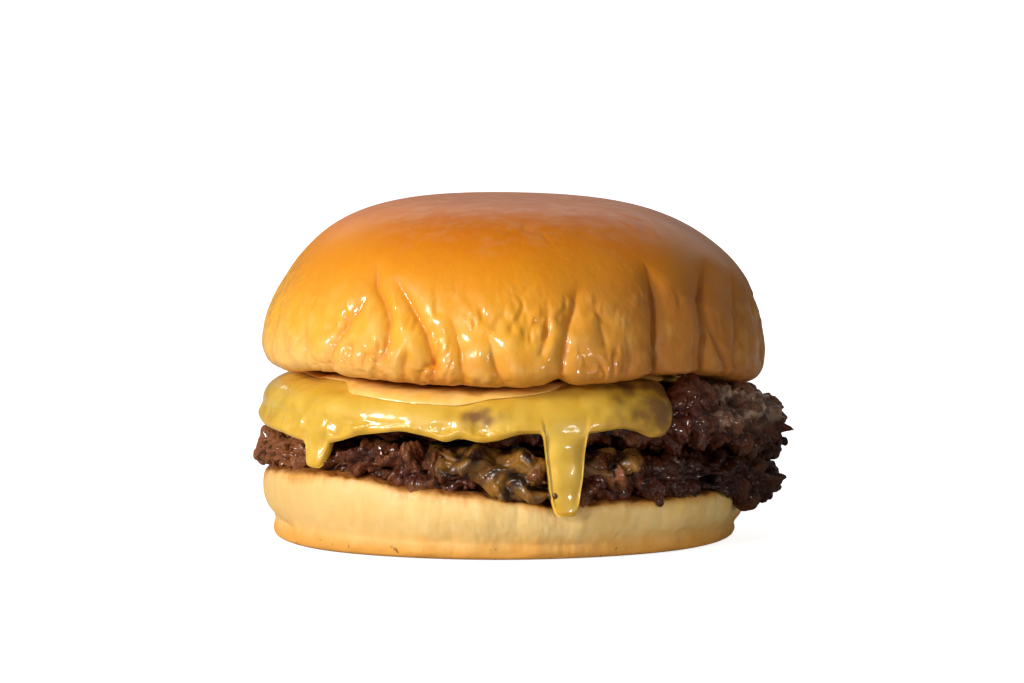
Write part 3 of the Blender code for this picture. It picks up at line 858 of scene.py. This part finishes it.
# The waist, where the upper slice begins to hang, is this far above the underside of its patty.
WAIST_OVER_BOTTOM = 4.2
LOWER_HEM = [
    (-180, 17.0), (-150, 15.0), (-130, 19.0), (-90, 21.0), (-26, 20.6), (-20.5, 18.0), (-18, 15.4),
    (-15.5, 18.0), (-12, 18.6), (-8, 16.0), (-5, 13.2), (1, 12.6), (6, 12.8), (10, 13.2),
    (13, 16.0), (16, 18.2), (22, 16.9), (29, 17.9), (34, 20.0), (130, 20.0), (150, 15.5),
    (165, 19.0),
]
LOWER_COVER = [(-180, 1.0), (-130, 1.0), (-110, 0.4), (-90, 0.0), (-28, 0.0), (-22, 0.9)]
LOWER_COVER += [(-16, 1.0), (31, 1.0), (35, 0.4), (40, 0.0), (130, 0.0), (145, 0.8), (160, 1.0)]
SLICE_REACH = [(-180, 50.6), (-90, 52.2), (-50, 51.6), (-20, 51.0), (20, 51.0), (44, 50.8), (135, 50.6)]
SLICE_COLUMNS = 740
SLICE_CROWDING = 0.42


def with_drips(hem, turn, drips):
    """The hem, pulled down at each drip to its tip by a flat-topped bell, e^(-(d^6))."""
    for at, width, tip in drips:
        pull = np.exp(-((wrapped(turn - at) / width) ** 6))
        hem = hem + (np.minimum(tip, hem) - hem) * pull
    return hem


def ripples(grid):
    """The gentle unevenness that the upper slice and the sauce on it share."""
    return 0.5 * noise(grid, 9, 111) + 0.22 * noise(grid, 4.2, 112)


def calmed(turn):
    """How strong the ripples are: 1, less towards the left end."""
    return 1 - 0.7 * bell(turn - CALM_TURN, 22)


def upper_cheese():
    """The upper slice: smooth over the shoulder, then a thin film on the crags of the beef down to its
    hem. Its drips hang clear of the lower patty, and their edges draw in towards it."""
    turn = turns_round(SLICE_COLUMNS, SLICE_CROWDING)[None, :]
    hem = with_drips(around(UPPER_HEM, turn, 1.4), turn, UPPER_DRIPS)
    waist = np.maximum(around(UPPER_BOTTOM, turn) + WAIST_OVER_BOTTOM, hem + 0.4)
    cover = around(UPPER_COVER, turn, 1.5)
    reach = around(SLICE_REACH, turn, 9)
    below = np.minimum(around(LOWER_REACH, turn, 6) + 1.8, 53.0)

    def swing(fall):
        return np.maximum(below - reach, 0.6) * ease(fall / 6.0) + 0.2 * np.sin(fall / 2.0) ** 2

    crest = around(UPPER_CREST, turn)
    r, z = draped(reach, 9.0, crest, waist, hem, cover, swing)
    radius, height, left, side = thickened(r, z, 1.3, 1.1)
    for at, width, _ in UPPER_DRIPS:
        off = np.abs(wrapped(turn - at)) / width
        radius = radius - 1.4 * off**3 * np.exp(-((off / 1.15) ** 8)) * ease((26 - height) / 3)
    grid = ring_points(radius, turn, height, STACK_MIDDLE)
    film = ease((waist + 2 - height) / 4) * ease((height - hem + 8) / 4)
    film = film * ease((hem - 20) / 3) * ease((turn + 72) / 12)
    relief, _, _ = crags(grid, UPPER_SEED)
    wavy = ripples(grid) + 0.20 * film * relief
    grid = pushed(grid, wavy * calmed(turn) * side * ease((radius - 36) / 8) * ease(left / 1.5))
    blotch = (0.75 + 0.6 * noise(grid, 2.4, 119)) * bell(turn + 8, 6) * bell(height - 29.4, 2.2)
    # Painted shade: the veil is laid over the right part of the slice, which faces away from the key light.
    shade = (0.74 + 0.5 * noise(grid, 3.2, 118)) * ease((turn - 16) / 14) * ease((60 - turn) / 10)
    sheer = 0.30 * film * (0.6 + noise(grid, 3.0, 116))
    clear = 1 - bell(turn - 11, 4) * ease((25 - height) / 3)
    # The veil is partly thin cheese over the beef and partly painted shade.
    veil = np.clip(blotch + shade + sheer + 0.25 * noise(grid, 4.0, 115), 0, 1)
    veil = veil * clear * ease((radius - 30) / 10)
    tones = (screen(226, 182, 68), screen(216, 168, 50), screen(134, 92, 44))
    paint = cheese_finish("melted_cheese", *tones, 0.6)
    piece("upper_cheese_melt", grid, paint, "melted_cheese", ["upper_cheese"], thin=veil, hem=bell(left, 1.6))


def lower_cheese():
    """The lower slice, a thin clear film that clings to the crags of the lower patty, which show through
    it."""
    turn = turns_round(SLICE_COLUMNS, SLICE_CROWDING)[None, :]
    hem = around(LOWER_HEM, turn, 1.2)
    top = around(LOWER_TOP, turn)
    waist = np.maximum(top - 3.4, hem + 0.4)
    cover = around(LOWER_COVER, turn, 1.5)
    reach = around(LOWER_REACH, turn, 6) + 0.7
    r, z = draped(reach, 7.0, top + 0.6, waist, hem, cover, lambda fall: 0 * fall)
    radius, height, left, side = thickened(r, z, 0.9, 0.9)
    grid = ring_points(radius, turn, height, STACK_MIDDLE)
    relief, deep, _ = crags(grid, LOWER_SEED)
    cling = ease((radius - 40) / 6) * (0.62 * relief + ragged(grid, LOWER_SEED))
    grid = pushed(grid, cling * side)
    # Partly painted shade: besides the film's own thin patches, the veil is stronger in the deep hollows of
    # the crags.
    veil = np.clip(0.55 + 0.9 * noise(grid, 3.6, 71) + 0.4 * deep, 0, 1)
    tones = (screen(150, 102, 36), screen(104, 64, 24), screen(40, 18, 6))
    paint = cheese_finish("stewed_cheese", *tones, 0.35)
    no_hem = np.zeros(grid.shape[:2])
    piece("lower_cheese_melt", grid, paint, "melted_cheese", ["lower_cheese"], thin=veil, hem=no_hem)


# The lower edge of the sauce all the way round.
SAUCE_EDGE = [
    (-180, 34.0), (-100, 34.6), (-56, 35.0), (-48, 34.4), (-44, 33.0), (-36, 32.4), (-28, 31.8),
    (-20, 31.7), (-13, 32.1), (-6, 32.9), (1, 33.3), (7, 34.0), (12, 34.8), (100, 34.8),
    (150, 33.6),
]


def sauce():
    """A thin spread over the cheese. It follows a quarter ellipse of its own, a little above the
    cheese's, down to its uneven edge, shares the cheese's ripples, and is drawn back under the bun at the
    right."""
    turn = turns_round(560)[None, :]
    crest = around(UPPER_CREST, turn) + 0.95
    waist = around(UPPER_BOTTOM, turn) + WAIST_OVER_BOTTOM
    drawn_back = 5.5 * ease((turn - 8) / 9) * ease((150 - turn) / 20)
    reach = around(SLICE_REACH, turn, 9) - drawn_back + 0.6
    shoulder = 9.4
    edge = np.minimum(around(SAUCE_EDGE, turn, 2), crest - 0.1)
    last = np.arccos(np.clip(1 - (crest - edge) / (crest - waist), 0, 1))
    over = np.linspace(0, 1, 48)[:, None] * last
    flat = np.linspace(0, 1, 10)[:-1, None] * (reach - shoulder)
    r = np.concatenate([flat, reach - shoulder + shoulder * np.sin(over)])
    z = np.concatenate([crest + 0 * flat, crest - (crest - waist) * (1 - np.cos(over))])
    radius, height, left, side = thickened(r, z, 0.6, 1.6)
    grid = ring_points(radius, turn, height, STACK_MIDDLE)
    wavy = ripples(grid) * calmed(turn) * ease((radius - 36) / 8) + 0.06 * noise(grid, 2.5, 91)
    grid = pushed(grid, wavy * side)
    piece("burger_sauce_spread", grid, sauce_finish(), "peach_sauce", ["burger_sauce"])


# ----------------------------------------------------------------------
# Floor, light and camera


def floor_finish():
    """A pale, even floor. It glows for the camera, so that it looks white, and throws back only half of the
    light."""
    paint = Paint("pale_floor")
    seen = paint.add("ShaderNodeLightPath", {}, {}, "Is Camera Ray")
    glow = paint.mix(seen, (0, 0, 0), (1, 1, 1))
    pale = paint.mix(seen, (0.50, 0.50, 0.50), (0.80, 0.80, 0.80))
    return paint.finish(Base_Color=pale, Roughness=0.95, Emission_Color=glow, Emission_Strength=0.86)


def floor():
    """A flat plane just under the base."""
    bpy.ops.mesh.primitive_plane_add(size=8.0, location=(0, 0, -0.0002))
    plane = bpy.context.active_object
    plane.name = "floor"
    plane.data.materials.append(floor_finish())


def aimed(obj, place, target):
    """Puts a lamp or a camera at a place, looking at the target."""
    obj.location = place
    obj.rotation_euler = (Vector(target) - Vector(place)).to_track_quat("-Z", "Y").to_euler()
    bpy.context.scene.collection.objects.link(obj)


def lamp(name, kind, place, target, energy, **settings):
    """A lamp of this kind. Its energy is in watts, or in watts for each square metre for a sun."""
    data = bpy.data.lights.new(name, kind)
    data.energy = energy
    for key, value in settings.items():
        setattr(data, key, value)
    aimed(bpy.data.objects.new(name, data), place, target)


def lights():
    """A broad sun, low at the front left, as the key; a soft strip behind; a small disk at the front left
    for the glints; a narrow spot on the right end, like light off a white card; and a pale sky, pure
    white to the camera."""
    middle = (0, 0, 0.035)
    lamp("key", "SUN", (-0.88, -0.52, 0.42), middle, 3.0, angle=math.radians(18))
    lamp("behind", "AREA", (0.05, 0.75, 0.42), middle, 1.2, shape="RECTANGLE", size=0.9, size_y=0.2)
    lamp("glint", "AREA", (-0.30, -0.60, 0.22), middle, 1.1, shape="DISK", size=0.08)
    right_end = (0.040, -0.040, -0.002)
    narrow = {"spot_size": math.radians(11), "spot_blend": 0.7, "shadow_soft_size": 0.06}
    lamp("card", "SPOT", (0.35, -0.60, 0.05), right_end, 6.0, **narrow)
    world = bpy.data.worlds.new("pale_sky")
    bpy.context.scene.world = world
    world.use_nodes = True
    tree = world.node_tree
    sky = tree.nodes["Background"]
    sky.inputs["Color"].default_value = (1, 1, 1, 1)
    sky.inputs["Strength"].default_value = 0.14
    seen = tree.nodes.new("ShaderNodeBackground")
    seen.inputs["Color"].default_value = (1, 1, 1, 1)
    seen.inputs["Strength"].default_value = 1.0
    path = tree.nodes.new("ShaderNodeLightPath")
    mix = tree.nodes.new("ShaderNodeMixShader")
    tree.links.new(path.outputs["Is Camera Ray"], mix.inputs[0])
    tree.links.new(sky.outputs[0], mix.inputs[1])
    tree.links.new(seen.outputs[0], mix.inputs[2])
    tree.links.new(mix.outputs[0], tree.nodes["World Output"].inputs["Surface"])


def camera():
    """A long lens, 5 degrees above level, straight at the front."""
    data = bpy.data.cameras.new("camera")
    data.sensor_width = 36
    data.lens = 303.8
    target = Vector((2.1, 0.0, 40.5)) * MM
    rise = math.radians(5)
    distance = 1.8
    obj = bpy.data.objects.new("camera", data)
    aimed(obj, target + Vector((0, -math.cos(rise), math.sin(rise))) * distance, target)
    bpy.context.scene.camera = obj


beef = beef_finish()
top_bun()
bottom_bun()
lower_levels = (LOWER_TOP, LOWER_BOTTOM, LOWER_SAG, LOWER_DROOP)
bare = [(-180, 0.0), (180, 0.0)]
lower_rest = (LOWER_SEED, beef, LOWER_HEM, bare, LOWER_TIPS)
lower_rim = patty("lower_patty_beef", "lower_patty", LOWER_REACH, 6.5, *lower_levels, *lower_rest)
upper_levels = (UPPER_TOP, UPPER_BOTTOM, UPPER_SAG, UPPER_DROOP)
upper_rest = (UPPER_SEED, beef, UPPER_HEM, UPPER_COVER, UPPER_TIPS)
upper_rim = patty("upper_patty_beef", "upper_patty", UPPER_REACH, 7.0, *upper_levels, *upper_rest)
crumbs([lower_rim, upper_rim], beef)
lower_cheese()
upper_cheese()
sauce()
floor()
lights()
camera()
bpy.context.scene.view_settings.view_transform = "Standard"
